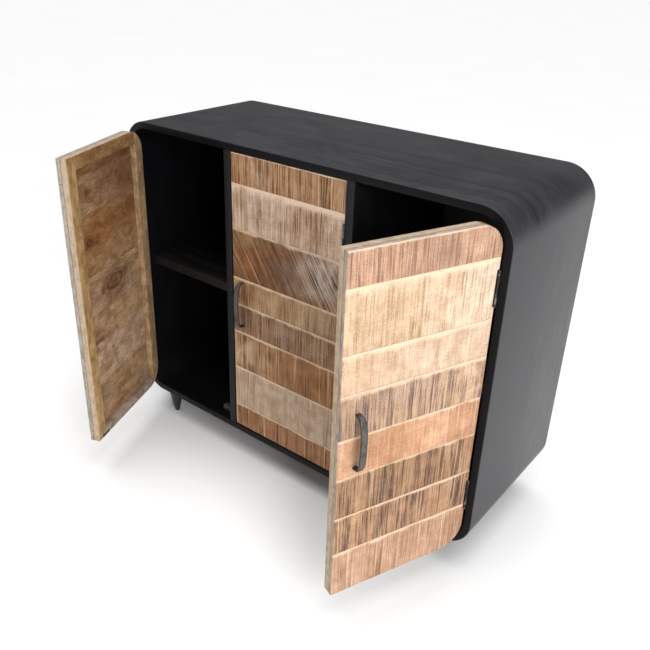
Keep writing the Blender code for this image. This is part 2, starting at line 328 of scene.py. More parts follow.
def board(name, node, thin_axis, material, body="case"):
    """A board with rounded arrises in place of a CAD node that is a plain box; thin_axis is its thickness."""
    low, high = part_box(node)
    first, second = [axis for axis in range(3) if axis != thin_axis]
    points, faces, _ = slab(plain_region(low[first], high[first], low[second], high[second]),
                            high[thin_axis] - low[thin_axis], BOARD_ARRIS)
    spread = np.empty_like(points)
    spread[:, first] = points[:, 0]
    spread[:, second] = points[:, 2]
    spread[:, thin_axis] = low[thin_axis] + points[:, 1]
    piece = new_piece(name, spread, faces, [material])
    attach(piece, body)
    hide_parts(node)


def black_stain_and_painted_shade(name, dark, light, grain):
    """Dull black-stained board, its colour darkened further as painted shade of the enclosed bays; grain
    stretches its faint figure along the board.
    """
    material, tree, shader = paint(name, Specular_IOR_Level=0.35)
    place = own_place(tree)
    figure = noise(tree, place, grain, detail=5.0, rough=0.6, distortion=0.3)
    cloud = noise(tree, place, 7.0, detail=3.0)
    tone = weighed(tree, (figure, 0.6), (cloud, 0.4))
    colour = mixed(tree, remap(tree, tone, 0.38, 0.66), dark, light)
    surface(tree, shader, colour, remap(tree, figure, 0.3, 0.7, 0.52, 0.68), figure, 0.0002)
    return material


def strip_cap(start, count):
    """Quads that close a ring of an even count of points, strip by strip from one side of it to the other."""
    i = np.arange(count // 2 - 1)
    return start + np.stack([i, i + 1, count - 2 - i, count - 1 - i], -1)


def build_lining():
    """The back panel follows the shell's inner corners; the dividers and shelves are plain boards.

    The back's rings lie at shares of the way from middle to outline: out on the front, in on the rear.
    """
    low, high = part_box("back_panel")
    outline, _ = round_loop(high.x, low.z, high.z, CORNER_R - WALL, BACK_STEPS, BACK_STEPS)
    middle = np.array([0, (low.z + high.z) / 2])
    shares = np.linspace(0.02, 1, BACK_STEPS)
    shares = np.append(shares, shares[::-1])[:, None, None]
    spots = middle + (outline - middle) * shares
    depth = np.repeat((low.y, high.y), len(shares) // 2)[:, None] + np.zeros(len(outline))
    points = np.stack([spots[..., 0], depth, spots[..., 1]], -1)
    around = len(outline)
    faces = np.vstack([grid_faces(len(shares), around, close_columns=True), strip_cap(0, around)[:, ::-1],
                       strip_cap((len(shares) - 1) * around, around)])
    back = new_piece("back_board", points, faces, [LINING_BLACK])
    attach(back, "case")
    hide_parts("back_panel")
    for side in ("left", "right"):
        board(f"{side}_divider_board", f"{side}_divider", 0, DIVIDER_BLACK)
    for bay in ("left", "middle", "right"):
        board(f"{bay}_shelf_board", f"{bay}_shelf", 2, SHELF_BLACK)


# Painted shade: these near-black colours, darkest on the dividers, are partly black stain and partly the
# shade inside the bays.
LINING_BLACK = black_stain_and_painted_shade("lining_black", (0.004, 0.004, 0.0044), (0.008, 0.008, 0.009), (3, 3, 40))
DIVIDER_BLACK = black_stain_and_painted_shade("divider_black", (0.0016, 0.0016, 0.0022), (0.0045, 0.0045, 0.006), (40, 6, 3))
SHELF_BLACK = black_stain_and_painted_shade("shelf_black", (0.002, 0.002, 0.002), (0.008, 0.007, 0.006), (3, 40, 40))
build_lining()


# ---- Feet ----------------------------------------------------------------------------------------
# Four turned feet in black lacquer, narrow at the floor, screwed up into the bottom of the case.
# Their tips are rounded and rubbed a little greyer.

TIP_R = 0.007
TIP_ARRIS = 0.002


def lathe(profile, centre, axis=(0, 0, 1), steps=32):
    """Points and quads of a turned solid: the profile (radius, height) goes round the axis and is capped."""
    axis = np.asarray(axis, float)
    side = np.cross(axis, (0, 1, 0) if abs(axis[1]) < 0.9 else (1, 0, 0))
    side /= np.linalg.norm(side)
    across = np.cross(axis, side)
    turn = np.radians(np.arange(steps) * 360 / steps)[None, :, None]
    radius, height = (np.asarray(profile, float)[:, k, None, None] for k in (0, 1))
    points = np.array(centre, float) + radius * (np.cos(turn) * side + np.sin(turn) * across) + height * axis
    faces = grid_faces(len(profile), steps, close_columns=True)
    last = (len(profile) - 1) * steps
    return points.reshape(-1, 3), np.vstack([faces, strip_cap(0, steps)[:, ::-1], strip_cap(last, steps)])


def together(parts):
    """Several (points, quads) as one."""
    starts = np.cumsum([0] + [len(points) for points, _ in parts])
    return (np.vstack([points for points, _ in parts]),
            np.vstack([faces + start for (_, faces), start in zip(parts, starts)]))


def foot_black():
    """Black lacquer with turning rings, rubbed grey at the tip."""
    material, tree, shader = paint("foot_black", Specular_IOR_Level=0.5)
    place = own_place(tree)
    rings = noise(tree, place, (4, 4, 300), detail=3.0)
    height = add(tree, "ShaderNodeSeparateXYZ", {"Vector": place}).outputs["Z"]
    worn = maths(tree, "MULTIPLY", remap(tree, height, 0.010, 0.0), noise(tree, place, 300.0))
    colour = mixed(tree, rings, (0.009, 0.009, 0.010), (0.020, 0.020, 0.022))
    colour = mixed(tree, worn, colour, (0.10, 0.10, 0.10))
    surface(tree, shader, colour, remap(tree, rings, 0.3, 0.7, 0.36, 0.5), rings, 0.0001)
    return material


def build_feet():
    """Each foot's profile runs from its rounded tip up to its flat head."""
    for corner in ("front_left", "front_right", "back_left", "back_right"):
        low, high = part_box(f"{corner}_foot")
        centre = (low + high) / 2
        head = (high.x - low.x) / 2
        turn = np.radians(np.linspace(0, 90, 5))
        profile = [(TIP_R - TIP_ARRIS * (1 - math.sin(t)), TIP_ARRIS * (1 - math.cos(t))) for t in turn]
        profile += [(TIP_R + (head - TIP_R) * share, TIP_ARRIS + (high.z - TIP_ARRIS) * share)
                    for share in np.linspace(0, 1, 16)[1:]]
        points, faces = lathe(profile, (centre.x, centre.y, 0), steps=48)
        foot = new_piece(f"{corner}_turned_foot", points, faces, [FOOT_BLACK])
        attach(foot, "case")
        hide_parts(f"{corner}_foot")


FOOT_BLACK = foot_black()
build_feet()


# ---- Door planks ---------------------------------------------------------------------------------
# Eight rough-sawn mango planks to a door, planed behind, glued and nailed across the frame.
# Saw scorch runs up and down the faces, sanded back to pale wood along each plank's head.
# Outer doors are rounded to the case's corners, and the hinge edges are notched for the knuckles.

DOORS = ("left_door", "middle_door", "right_door")
DOOR_R = 0.0555
PLANK_ARRIS = 0.0008
NOTCH = 0.0044
NOTCH_H = 0.078
NOTCH_STEP = 0.0002
PLANK_CELL = 0.0022
DIP = 0.00045
DIP_SWING = 0.00035
SAW_WAVE = 0.00005
SAW_PITCHES = (0.0137, 0.0091)
KNOT_BEND = 0.006
KNOT_DARK = (0.075, 0.03, 0.012)
SEAM = 0.001


def door_turn(door):
    """The joint's place, the way from it to the free edge (1 is +X), and the turn from closed to resting."""
    joint = joints[f"{door}_hinge"]
    spin = joint["axis"][2]
    turn = -math.radians(joint["range_deg"][0]) * spin
    return np.array(joint["pos_m"]), -spin, np.array([[math.cos(turn), -math.sin(turn), 0],
                                                      [math.sin(turn), math.cos(turn), 0], [0, 0, 1]])


def door_points(door, points):
    """Points (from the hinge line, behind the hinge line, above the floor) of a door, where they rest."""
    spot, side, turned = door_turn(door)
    closed = np.array(points, float)
    closed[:, 0] *= side
    return (closed - (0, 0, spot[2])) @ turned.T + spot


def door_box(door, part):
    """The lowest and highest of a door's CAD node as (from the hinge line, behind it, above the floor)."""
    spot, side, turned = door_turn(door)
    vertices = frame["nodes"][f"{door}_{part}"].data.vertices
    flat = np.empty(len(vertices) * 3)
    vertices.foreach_get("co", flat)
    closed = (flat.reshape(-1, 3) - spot) @ turned
    closed[:, 0] *= side
    closed[:, 2] += spot[2]
    return closed.min(0), closed.max(0)


def plank_region(low, high, rounded, notches, cell):
    """The region of a plank. rounded is 1 for a round hinge-side head, -1 for a foot, 0 for neither.

    Rows run from the square end; on the round end row t lies at R sin t past the arc's centre and starts
    R(1 - cos t) from the hinge edge. Rows inside a notch start deeper.
    """
    tall = high[2] - low[2]
    spine = tall - (DOOR_R if rounded else 0)
    levels = np.linspace(0, spine, max(4, int(spine / cell) + 1))
    for foot, head in notches:
        for cut in (foot, head):
            level = cut - low[2] if rounded >= 0 else high[2] - cut
            if cell < level < spine - cell:
                levels = np.append(levels, (level - NOTCH_STEP, level + NOTCH_STEP))
    levels = np.sort(levels)
    across = np.linspace(0, 1, int((high[0] - low[0]) / cell) + 1)
    turns = np.radians(np.linspace(0, 90, 15))[1:] if rounded else np.empty(0)

    def region(inset):
        far_inset = 0 if rounded else inset
        rows = inset + levels * (spine - inset - far_inset) / spine
        height = low[2] + rows if rounded >= 0 else high[2] - rows
        start = low[0] + inset + NOTCH * sum((height > foot) & (height < head) for foot, head in notches)
        if rounded:
            rows = np.append(rows, spine + (DOOR_R - inset) * np.sin(turns))
            start = np.append(start, low[0] + DOOR_R - (DOOR_R - inset) * np.cos(turns))
            height = low[2] + rows if rounded > 0 else high[2] - rows
        u = start[:, None] + (high[0] - inset - start)[:, None] * across
        return u, np.broadcast_to(height[:, None], u.shape)
    return region


def notches_of(door):
    """The heights of a door's two notches, one round each hinge."""
    spans = [door_box(door, f"{level}_hinge_door_leaf") for level in ("upper", "lower")]
    middles = [(low[2] + high[2]) / 2 for low, high in spans]
    return [(middle - NOTCH_H / 2, middle + NOTCH_H / 2) for middle in middles]


def sawn_wood():
    """Rough-sawn face: saw lines up and down it, scorched where burn is high, sanded pale along its head."""
    material, tree, shader = paint("sawn_wood", Specular_IOR_Level=0.2)
    spot, saw = attribute(tree, "spot", "Vector"), attribute(tree, "saw", "Vector")
    tint, char = attribute(tree, "tint", "Color"), attribute(tree, "char", "Color")
    fine = noise(tree, saw, (470, 1, 9), detail=3.0, rough=0.7)
    line = noise(tree, saw, (165, 1, 3.5), detail=5.0, rough=0.75)
    band = noise(tree, saw, (42, 1, 4), detail=3.0)
    kerf = noise(tree, saw, (170, 1, 2.5), shift=(3.1, 0, 5.7), detail=3.0, rough=0.6)
    cloud = noise(tree, spot, (24, 1, 13), detail=4.0, rough=0.6, distortion=0.3)
    patch = noise(tree, spot, (34, 1, 26), shift=(1.7, 0, 0), detail=4.0, rough=0.6, distortion=0.4)
    grain = noise(tree, spot, (14, 1, 150), detail=4.0, rough=0.6, distortion=0.5)
    speck = noise(tree, spot, (520, 1, 260), detail=3.0, rough=0.8)
    wobble = noise(tree, spot, (22, 1, 30), detail=4.0, rough=0.6)
    edge = weighed(tree, (attribute(tree, "head"), 1.0), (wobble, 3.4))
    sanded = remap(tree, edge, 1.9, 3.1, 1.0, 0.0)
    lines = remap(tree, weighed(tree, (line, 0.44), (fine, 0.38), (band, 0.18)), 0.475, 0.55)
    area = remap(tree, weighed(tree, (attribute(tree, "burn"), 1.0), (cloud, 3.0)), 1.6, 2.45)
    area = maths(tree, "MULTIPLY", area, maths(tree, "SUBTRACT", 1.0, sanded))
    scorch = weighed(tree, (lines, weighed(tree, (area, 0.52), (1.0, 0.42))), (area, 0.12))
    ground = shaded(tree, tint, remap(tree, grain, 0.3, 0.7), (0.95, 0.94, 0.93), (1.05, 1.05, 1.06))
    ground = shaded(tree, ground, remap(tree, patch, 0.34, 0.66), (0.88, 0.83, 0.78), (1.10, 1.12, 1.14))
    colour = mixed(tree, scorch, ground, char)
    pale = mixed(tree, 0.5, tint, (0.90, 0.72, 0.54))
    colour = mixed(tree, remap(tree, kerf, 0.58, 0.66, 0.0, 0.55), colour, pale)
    colour = mixed(tree, weighed(tree, (sanded, 0.85)), colour, mixed(tree, 0.7, tint, (0.80, 0.63, 0.46)))
    colour = shaded(tree, colour, remap(tree, speck, 0.3, 0.7), (0.76, 0.74, 0.72), (1.24, 1.25, 1.26))
    relief = weighed(tree, (line, 0.5), (fine, 0.5))
    surface(tree, shader, colour, remap(tree, line, 0.3, 0.7, 0.62, 0.78), relief, 0.0009)
    return material


def planed_wood():
    """Planed face: fine mottled grain along the board, rings round knots and short dark pores."""
    material, tree, shader = paint("planed_wood", Specular_IOR_Level=0.3)
    spot, burn = attribute(tree, "spot", "Vector"), attribute(tree, "burn")
    tint, char = attribute(tree, "tint", "Color"), attribute(tree, "char", "Color")
    rings = noise(tree, spot, (9, 60, 95), detail=5.0, rough=0.65, distortion=1.6)
    fibre = noise(tree, spot, (60, 500, 620), detail=4.0, rough=0.7)
    cloud = noise(tree, spot, (20, 26, 30), detail=5.0, rough=0.6, distortion=1.0)
    pores = noise(tree, spot, (110, 700, 900), detail=1.0)
    tone = weighed(tree, (rings, 0.35), (cloud, 0.65))
    colour = shaded(tree, tint, remap(tree, tone, 0.36, 0.64), (0.66, 0.57, 0.47), (1.22, 1.22, 1.24))
    colour = shaded(tree, colour, remap(tree, fibre, 0.3, 0.7), (0.72, 0.70, 0.68), (1.28, 1.29, 1.30))
    colour = mixed(tree, remap(tree, pores, 0.62, 0.72, 0.0, 0.4), colour, (0.10, 0.05, 0.02))
    swirl = maths(tree, "SINE", weighed(tree, (burn, 34.0), (cloud, 7.0)))
    ringed = remap(tree, swirl, -0.9, 0.9, 0.25, 1.0)
    knot = maths(tree, "MULTIPLY", remap(tree, burn, 0.0, 0.8), ringed)
    colour = mixed(tree, knot, colour, char)
    surface(tree, shader, colour, remap(tree, rings, 0.3, 0.7, 0.50, 0.66), fibre, 0.00025)
    return material


def edge_wood(name, light, dark):
    """Weathered sawn edge: greyed wood with faint darker stains."""
    material, tree, shader = paint(name, Specular_IOR_Level=0.2)
    spot = attribute(tree, "spot", "Vector")
    stain = noise(tree, spot, (45, 90, 45), detail=4.0, distortion=0.8)
    fibre = noise(tree, spot, (260, 600, 260), detail=3.0, rough=0.7)
    colour = mixed(tree, remap(tree, stain, 0.35, 0.68), light, dark)
    colour = shaded(tree, colour, fibre, (0.72, 0.72, 0.73), (1.28, 1.28, 1.28))
    surface(tree, shader, colour, remap(tree, stain, 0.3, 0.7, 0.6, 0.72), fibre, 0.0003)
    return material


# Each sawn face from the door's head down: the wood's colour, the scorch's colour, how much of it, the saw
# lines' slant, the sanded band's height in mm, and its stains. A stain is (share of the way from the free
# edge, share of the way down, its two radii as shares, colour, strength, scorch there).
SAWN_FACES = {
    "middle_door": [
        ((0.43, 0.25, 0.135), (0.115, 0.048, 0.019), 0.85, 0.0, 2,
         [(0.28, 0.6, 0.10, 0.4, (0.46, 0.31, 0.21), 0.7, 0.45),
          (0.06, 0.4, 0.07, 0.8, (0.42, 0.22, 0.09), 0.5, 1.0)]),
        ((0.56, 0.41, 0.31), (0.17, 0.085, 0.038), 0.35, 0.0, 15,
         [(0.08, 0.40, 0.08, 0.2, (0.34, 0.20, 0.10), 0.8, 0.3),
          (0.60, 0.5, 0.14, 0.35, (0.42, 0.26, 0.14), 0.6, 0.85),
          (0.80, 0.55, 0.10, 0.3, (0.42, 0.27, 0.16), 0.6, 0.9),
          (0.3, 0.6, 0.2, 0.4, (0.53, 0.41, 0.33), 0.7, 0.25)]),
        ((0.235, 0.10, 0.036), (0.09, 0.04, 0.020), 0.70, -0.65, 7,
         [(0.85, 0.35, 0.22, 0.6, (0.62, 0.52, 0.43), 0.95, 0.35),
          (0.5, 0.55, 0.14, 0.35, (0.20, 0.13, 0.10), 0.8, 0.9),
          (0.1, 0.12, 0.2, 0.22, (0.32, 0.21, 0.09), 0.7, 0.3)]),
        ((0.41, 0.265, 0.145), (0.16, 0.075, 0.032), 0.45, 0.0, 6,
         [(0.9, 0.6, 0.25, 0.6, (0.43, 0.30, 0.185), 0.7, 0.6),
          (0.15, 0.5, 0.08, 0.5, (0.26, 0.12, 0.045), 0.8, 0.6)]),
        ((0.31, 0.175, 0.095), (0.095, 0.048, 0.028), 0.70, 0.0, 6,
         [(0.5, 0.5, 0.15, 0.5, (0.36, 0.25, 0.18), 0.7, 0.5),
          (0.85, 0.6, 0.2, 0.5, (0.40, 0.26, 0.145), 0.6, 0.5)]),
        ((0.33, 0.155, 0.062), (0.12, 0.05, 0.020), 0.6, 0.0, 6,
         [(0.05, 0.5, 0.30, 0.6, (0.55, 0.40, 0.26), 0.9, 0.3)]),
        ((0.48, 0.36, 0.26), (0.23, 0.14, 0.075), 0.30, 0.0, 6, []),
        ((0.36, 0.18, 0.09), (0.125, 0.055, 0.025), 0.6, 0.0, 4, [])],
    "right_door": [
        ((0.52, 0.32, 0.21), (0.24, 0.13, 0.09), 0.65, 0.0, 3,
         [(0.60, 0.5, 0.16, 0.6, (0.36, 0.23, 0.17), 0.7, 0.9),
          (0.85, 0.4, 0.12, 0.5, (0.64, 0.42, 0.28), 0.5, 0.4)]),
        ((0.62, 0.45, 0.305), (0.34, 0.20, 0.11), 0.40, 0.0, 14,
         [(0.95, 0.5, 0.35, 0.9, (0.76, 0.62, 0.49), 0.8, 0.2),
          (0.1, 0.7, 0.2, 0.3, (0.56, 0.40, 0.25), 0.6, 0.4)]),
        ((0.65, 0.485, 0.355), (0.37, 0.23, 0.14), 0.30, 0.0, 10,
         [(0.1, 0.6, 0.25, 0.6, (0.60, 0.39, 0.25), 0.7, 0.2)]),
        ((0.52, 0.345, 0.22), (0.145, 0.088, 0.074), 0.75, 0.0, 9,
         [(0.4, 0.2, 0.3, 0.3, (0.42, 0.29, 0.23), 0.6, 0.8),
          (0.92, 0.4, 0.17, 0.7, (0.70, 0.48, 0.33), 0.7, 0.3),
          (0.12, 0.85, 0.05, 0.25, (0.22, 0.12, 0.08), 0.4, 0.9)]),
        ((0.57, 0.335, 0.215), (0.34, 0.16, 0.075), 0.20, 0.0, 5,
         [(0.62, 0.6, 0.16, 0.4, (0.72, 0.43, 0.26), 0.6, 0.1),
          (0.35, 0.5, 0.16, 0.8, (0.45, 0.23, 0.115), 0.7, 0.3),
          (0.13, 0.3, 0.05, 0.8, (0.38, 0.19, 0.09), 0.6, 0.4)]),
        ((0.39, 0.23, 0.125), (0.095, 0.052, 0.040), 0.75, 0.0, 6,
         [(0.08, 0.6, 0.12, 0.5, (0.40, 0.23, 0.13), 0.6, 0.5),
          (0.92, 0.5, 0.15, 0.6, (0.50, 0.29, 0.17), 0.7, 0.5)]),
        ((0.46, 0.27, 0.155), (0.095, 0.055, 0.043), 0.80, 0.0, 5,
         [(0.05, 0.3, 0.1, 0.4, (0.56, 0.32, 0.17), 0.7, 0.3),
          (0.95, 0.5, 0.12, 0.6, (0.52, 0.31, 0.18), 0.7, 0.5)]),
        ((0.53, 0.33, 0.215), (0.24, 0.125, 0.075), 0.45, 0.0, 7,
         [(0.6, 0.3, 0.25, 0.3, (0.48, 0.28, 0.18), 0.5, 0.6),
          (0.15, 0.7, 0.2, 0.4, (0.57, 0.37, 0.25), 0.6, 0.2)])]}
# The left door's fronts are faces like those of the other two.
SAWN_FACES["left_door"] = [SAWN_FACES[door][number] for door, number in (
    ("middle_door", 4), ("right_door", 1), ("middle_door", 2), ("right_door", 5), ("right_door", 4),
    ("middle_door", 0), ("middle_door", 6), ("right_door", 6))]

# Each planed back of the left door from its head down: the wood's colour, and its knots and stains as above.
# The other doors start further down the list.
PLANED_BACKS = [
    ((0.25, 0.13, 0.06), [(0.75, 0.6, 0.35, 0.5, (0.14, 0.06, 0.026), 0.8, 0.0),
                          (0.30, 0.5, 0.16, 0.3, (0.28, 0.15, 0.07), 0.6, 0.0)]),
    ((0.30, 0.18, 0.10), [(0.28, 0.45, 0.05, 0.11, (0.15, 0.065, 0.028), 0.8, 0.8),
                          (0.80, 0.5, 0.3, 0.8, (0.15, 0.065, 0.027), 0.8, 0.0),
                          (0.35, 0.85, 0.2, 0.25, (0.38, 0.24, 0.14), 0.6, 0.0)]),
    ((0.33, 0.185, 0.085), [(0.24, 0.43, 0.10, 0.15, (0.17, 0.065, 0.022), 0.85, 0.85),
                            (0.42, 0.30, 0.22, 0.25, (0.28, 0.115, 0.03), 0.8, 0.08),
                            (0.85, 0.25, 0.30, 0.35, (0.20, 0.09, 0.035), 0.85, 0.0),
                            (0.60, 0.80, 0.30, 0.2, (0.37, 0.23, 0.13), 0.7, 0.0)]),
    ((0.38, 0.25, 0.15), [(0.52, 0.48, 0.19, 0.38, (0.20, 0.10, 0.055), 0.85, 0.75)]),
    ((0.37, 0.235, 0.135), [(0.25, 0.92, 0.13, 0.12, (0.14, 0.06, 0.025), 0.7, 0.7),
                            (0.75, 0.6, 0.3, 0.4, (0.42, 0.28, 0.15), 0.6, 0.0)]),
    ((0.45, 0.31, 0.21), [(0.40, 0.34, 0.020, 0.035, (0.08, 0.035, 0.015), 0.9, 0.9),
                          (0.10, 0.12, 0.10, 0.12, (0.18, 0.08, 0.035), 0.7, 0.6)]),
    ((0.36, 0.235, 0.13), [(0.60, 0.45, 0.30, 0.22, (0.42, 0.26, 0.13), 0.7, 0.1),
                           (0.10, 0.6, 0.14, 0.5, (0.16, 0.10, 0.065), 0.8, 0.3)]),
    ((0.38, 0.25, 0.155), [(0.45, 0.45, 0.38, 0.14, (0.31, 0.15, 0.055), 0.85, 0.2),
                           (0.85, 0.3, 0.12, 0.5, (0.34, 0.26, 0.20), 0.6, 0.0)])]


def stained(free_share, down_share, tint, burn, stains):
    """Colour and scorch at each point: every stain is mixed in by strength * exp(-d**2), d in its radii."""
    colour = np.tile(tint, (len(free_share), 1)).astype(float)
    amount = np.full(len(free_share), float(burn))
    for free, down, wide, tall, stain, strength, scorch in stains:
        reach = ((free_share - free) / wide) ** 2 + ((down_share - down) / tall) ** 2
        weight = strength * np.exp(-reach * (1 + 0.3 * np.sin(9 * free_share + 14 * down_share)))
        colour += (np.array(stain) - colour) * weight[:, None]
        amount += (scorch - amount) * weight
    return colour, amount


def build_planks(door):
    """The planks of one door; each has a sawn front, greyed edges and a planed back in its own colours.

    Where two planks meet, the faces within SEAM of the head or foot stay brown. Grain bends round the knots.
    """
    notches = notches_of(door)
    lowest, highest = (part[2] for part in door_box(door, "frame"))
    for number in range(1, 9):
        low, high = door_box(door, f"plank_{number}")
        rounded = 0 if door == "middle_door" else {1: 1, 8: -1}.get(number, 0)
        tint, char, burn, slant, band, stains = SAWN_FACES[door][number - 1]
        plain, knots = PLANED_BACKS[(number - 1 + 3 * DOORS.index(door)) % 8]
        own = 0.7 * number + 6.1 * DOORS.index(door)
        dip = DIP + DIP_SWING * math.sin(2.4 * own)

        def worn(a, b):
            """Depth of the sawn face: its own set-back, and a shallow saw wave of each pitch."""
            along = 2 * np.pi * (a + slant * b + own)
            return dip + SAW_WAVE * sum(np.sin(along / pitch) for pitch in SAW_PITCHES)
        region = plank_region(low, high, rounded, notches, PLANK_CELL)
        points, faces, part = slab(region, high[1] - low[1], PLANK_ARRIS, lift=worn)
        front_free = (high[0] - points[:, 0]) / (high[0] - low[0])
        down = (high[2] - points[:, 2]) / (high[2] - low[2])
        rear = points[:, 1] > (high[1] - low[1]) / 2
        front_colour, front_burn = stained(front_free, down, tint, burn, stains)
        back_colour, back_burn = stained(front_free, down, plain, 0.0, knots)
        knot_bend = 0
        for x, y, wide, tall, _, strength, burnt in knots:
            if burnt > 0.3:
                reach = ((front_free - x) / (2.2 * wide)) ** 2 + ((down - y) / (1.6 * tall)) ** 2
                knot_bend = knot_bend + KNOT_BEND * strength * np.sign(down - y) * np.exp(-reach)
        spot = points + (own, 0, own)
        spot[:, 2] += np.where(rear, knot_bend, 0)
        saw = np.stack([points[:, 0] + slant * points[:, 2] + own, 0 * down, points[:, 2] + own], -1)
        dark = np.where(rear[:, None], KNOT_DARK, char)
        centre = points[faces].mean(1)
        at_head = (centre[:, 2] > high[2] - SEAM) & (high[2] < highest - SEAM)
        at_foot = (centre[:, 2] < low[2] + SEAM) & (low[2] > lowest + SEAM)
        part[(part == 1) & (at_head | at_foot)] = 2
        placed = points + (0, low[1], 0)
        plank = new_piece(f"{door}_sawn_plank_{number}", door_points(door, placed), faces,
                          [SAWN_WOOD, PLANK_END, PLANED_WOOD], part, spot=spot, saw=saw,
                          tint=np.where(rear[:, None], back_colour, front_colour), char=dark,
                          burn=np.where(rear, back_burn, front_burn),
                          head=(high[2] - points[:, 2]) / (band / 1000))
        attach(plank, door)
        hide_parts(f"{door}_plank_{number}")


SAWN_WOOD, PLANED_WOOD = sawn_wood(), planed_wood()
PLANK_END = edge_wood("plank_end", (0.40, 0.35, 0.31), (0.27, 0.23, 0.195))
for door_name in DOORS:
    build_planks(door_name)


# ---- Door frames ---------------------------------------------------------------------------------
# Behind the planks, a frame of planed wood: two full-height stiles with the two rails butted between them.
# The hinge stile of an outer door is rounded with the planks.

STILE_W = 0.034
HEAD_RAIL_W = 0.034
FOOT_RAIL_W = 0.020
FRAME_ARRIS = 0.0016
JOINT_GAP = 0.0002
ARC_SHORT = 0.0026
ON_RIM = 0.0004
STAIN_DARK = (0.10, 0.045, 0.02)
FRAME_TINTS = {"hinge_stile": (0.37, 0.25, 0.14), "free_stile": (0.43, 0.28, 0.13),
               "head_rail": (0.28, 0.16, 0.07), "foot_rail": (0.34, 0.27, 0.21)}


def stile_region(low, high, rounded):
    """The region of the hinge stile: the door's outline up to the stile's width, with arcs if rounded.

    The arcs end ARC_SHORT before the stile's inner edge, so that the last row keeps a width.
    """
    middle = (low[2] + high[2]) / 2
    spine = (high[2] - low[2]) / 2 - (DOOR_R if rounded else 0)
    levels = np.linspace(0, spine, 24)
    last = math.acos(1 - (STILE_W - ARC_SHORT) / DOOR_R)
    turns = np.linspace(0, last, 12)[1:] if rounded else np.empty(0)
    across = np.linspace(0, 1, 8)

    def region(inset):
        rows = levels * (spine - (0 if rounded else inset)) / spine
        rows = np.append(rows, spine + (DOOR_R - inset) * np.sin(turns))
        start = np.append(np.full(len(levels), low[0] + inset),
                          low[0] + DOOR_R - (DOOR_R - inset) * np.cos(turns))
        height = middle + np.append(-rows[:0:-1], rows)
        start = np.append(start[:0:-1], start)
        end = low[0] + STILE_W - inset
        u = start[:, None] + (end - start)[:, None] * across
        return u, np.broadcast_to(height[:, None], u.shape)
    return region


def rail_region(low, high, rounded, head):
    """The region of a rail between the stiles; a rounded door's arc takes off its outer hinge corner."""
    columns = np.linspace(low[0] + STILE_W + JOINT_GAP, high[0] - STILE_W - JOINT_GAP, 60)
    across = np.linspace(0, 1, 8)[:, None]

    def region(inset):
        u = inset + columns[0] + (columns - columns[0]) * (1 - 2 * inset / (columns[-1] - columns[0]))
        reach = np.maximum(0, low[0] + DOOR_R - u) if rounded else 0 * u
        outer = (DOOR_R - inset) - np.sqrt((DOOR_R - inset) ** 2 - reach ** 2) + inset
        far = high[2] - outer if head else low[2] + outer
        near = high[2] - HEAD_RAIL_W + inset if head else low[2] + FOOT_RAIL_W - inset
        b = near + (far - near) * across
        return np.broadcast_to(u, b.shape), b
    return region


def build_frame(door, first):
    """Two stiles and two rails; the grain follows each board's length."""
    low, high = door_box(door, "frame")
    rounded = door != "middle_door"
    regions = {"hinge_stile": stile_region(low, high, rounded),
               "free_stile": plain_region(high[0] - STILE_W, high[0], low[2], high[2], 0.006),
               "head_rail": rail_region(low, high, rounded, True),
               "foot_rail": rail_region(low, high, rounded, False)}
    for number, (name, region) in enumerate(regions.items()):
        points, faces, part = slab(region, high[1] - low[1], FRAME_ARRIS)
        own = 2.3 * number + 0.37 * first
        spot = points[:, (2, 1, 0)] if "stile" in name else points
        count = len(points)
        centre = points[faces].mean(1)
        on_rim = np.minimum(np.minimum(centre[:, 0] - low[0], high[0] - centre[:, 0]),
                            np.minimum(centre[:, 2] - low[2], high[2] - centre[:, 2])) < ON_RIM
        piece = new_piece(f"{door}_{name}", door_points(door, points + (0, low[1], 0)), faces,
                          [PLANED_WOOD, FRAME_END], np.where((part == 1) & on_rim, 1, 0), spot=spot + own,
                          tint=np.tile(FRAME_TINTS[name], (count, 1)), char=np.tile(STAIN_DARK, (count, 1)),
                          burn=np.zeros(count))
        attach(piece, door)
        if number == 0:
            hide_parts(f"{door}_frame")


FRAME_END = edge_wood("frame_end", (0.50, 0.385, 0.275), (0.37, 0.28, 0.195))
for door_number, door_name in enumerate(DOORS):
    build_frame(door_name, door_number)


# ---- Handles -------------------------------------------------------------------------------------
# A bow of flat forged iron on each door, its legs set into the planks. Hammered, and lighter along the middle
# of the face: part rubbed wear, part painted highlight.

BOW_POWER = 0.60
HANDLE_T = 0.0045
STRAP_POINTS = 24
LEG_TAPER = 0.24
LEG_TAPER_REACH = 0.006


def forged_iron():
    """Dark hammered iron, lighter brownish grey along the middle of the outer face: part rubbed wear, part
    painted highlight.
    """
    material, tree, shader = paint("forged_iron", Metallic=0.6, Specular_IOR_Level=0.5)
    place = own_place(tree)
    face = attribute(tree, "face")
    dents = noise(tree, place, 230.0, detail=2.0)
    cloud = noise(tree, place, 60.0, detail=4.0)
    # Painted highlight: the face mask lightens the middle of the outer face, standing in partly for light
    # from the key and partly for rubbed wear.
    worn = maths(tree, "MULTIPLY", face, remap(tree, cloud, 0.35, 0.6, 0.35, 1.0))
    colour = mixed(tree, cloud, (0.020, 0.020, 0.022), (0.055, 0.053, 0.052))
    colour = mixed(tree, worn, colour, (0.13, 0.117, 0.104))
    surface(tree, shader, colour, remap(tree, cloud, 0.3, 0.7, 0.42, 0.58), dents, 0.0008)
    return material


